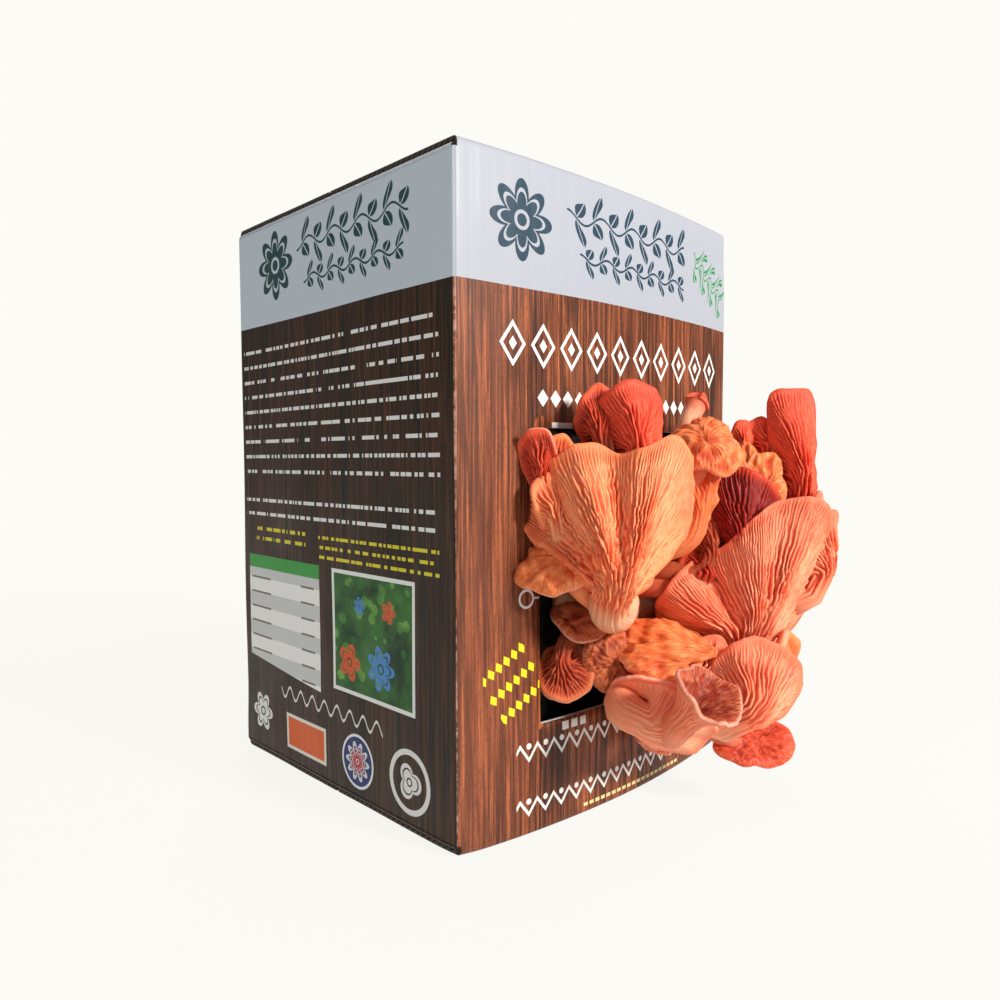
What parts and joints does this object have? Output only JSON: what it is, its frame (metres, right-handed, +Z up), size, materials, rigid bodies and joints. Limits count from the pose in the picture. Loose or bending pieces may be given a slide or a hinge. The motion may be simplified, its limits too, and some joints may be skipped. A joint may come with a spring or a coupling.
{
  "type": "oyster mushroom grow kit",
  "caption": "Cardboard mushroom grow kit with a cut-out window, from which a cluster of pink oyster mushrooms has grown out of the bagged block.",
  "frame": {"origin": "middle of the carton's base", "axes": "+X to the right along the front panel, +Y from the front panel to the back, +Z up"},
  "size_m": [0.16, 0.2098, 0.229],
  "materials": {
    "printed_board": "printed board, slightly glossy",
    "bag_film": "dark film with a soft gloss",
    "substrate": "pressed and crumbly",
    "stem_flesh": "matt, moist",
    "flesh_peach": "matt, moist, fine gills",
    "flesh_salmon": "matt, moist, fine gills",
    "flesh_crimson": "matt, moist, fine gills",
    "flesh_orange": "matt, fibrous"
  },
  "bodies": {
    "root": {"box": "printed_board", "grow_bag": "bag_film", "mushroom_bottom_drooping": "flesh_salmon", "mushroom_bottom_fuzzy": "flesh_crimson", "mushroom_centre_upright": "flesh_salmon", "mushroom_corner_curled": "flesh_orange", "mushroom_corner_hanging": "flesh_orange", "mushroom_corner_rough": "flesh_orange", "mushroom_front_cup": "flesh_crimson", "mushroom_front_fibrous": "flesh_orange", "mushroom_front_small": "flesh_salmon", "mushroom_left_behind": "flesh_peach", "mushroom_left_fan": "flesh_peach", "mushroom_left_rolled": "flesh_orange", "mushroom_left_shaded": "flesh_crimson", "mushroom_left_small": "flesh_peach", "mushroom_lower_fan": "flesh_salmon", "mushroom_lower_smooth": "flesh_salmon", "mushroom_middle_deep": "flesh_crimson", "mushroom_middle_folded": "flesh_crimson", "mushroom_middle_ruffled": "flesh_crimson", "mushroom_middle_small": "flesh_crimson", "mushroom_right_fan": "flesh_salmon", "mushroom_right_narrow": "flesh_salmon", "mushroom_right_rolled": "flesh_orange", "mushroom_right_split": "flesh_salmon", "mushroom_right_tall": "flesh_salmon", "mushroom_side_broad": "flesh_salmon", "mushroom_side_spreading": "flesh_salmon", "mushroom_side_tall": "flesh_salmon", "mushroom_top_bud": "flesh_crimson", "mushroom_top_hooded": "flesh_crimson", "mushroom_top_narrow": "flesh_peach", "mushroom_top_round": "flesh_peach", "mushroom_upper_lumpy": "flesh_orange", "mushroom_upper_small": "flesh_salmon", "stem_clump": "stem_flesh", "substrate_block": "substrate"}
  },
  "joints": []
}
